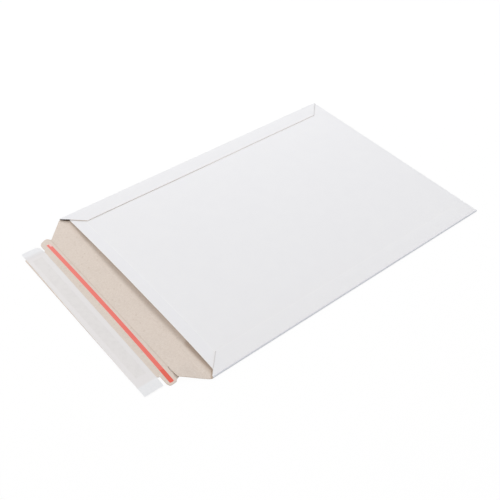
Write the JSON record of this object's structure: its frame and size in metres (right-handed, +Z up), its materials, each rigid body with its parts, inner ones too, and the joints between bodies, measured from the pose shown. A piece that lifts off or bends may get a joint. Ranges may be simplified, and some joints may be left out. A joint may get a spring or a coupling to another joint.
{
  "type": "cardboard envelope",
  "caption": "Flat solid-board mailing envelope, open at one short end, with a closure flap that carries a peel-and-seal strip under release paper and a red tear tape.",
  "frame": {"origin": "middle of the bottom panel, on the surface that the envelope lies on", "axes": "+X along the mouth from the left to the right side fold, seen from the closure flap; +Y from the mouth to the far fold; +Z up, out of the top panel"},
  "size_m": [0.25, 0.4067, 0.006],
  "materials": {
    "board": "matt white lining outside, grey-beige board inside",
    "tape": "thin red film, satin",
    "adhesive": "clear hot-melt, tacky",
    "liner": "siliconised release paper, satin",
    "glue": "dried seam glue"
  },
  "bodies": {
    "root": {"board": "board", "tear_tape": "tape", "closure_adhesive": "adhesive", "release_liner": "liner", "left_seam_glue": "glue", "right_seam_glue": "glue"}
  },
  "joints": []
}
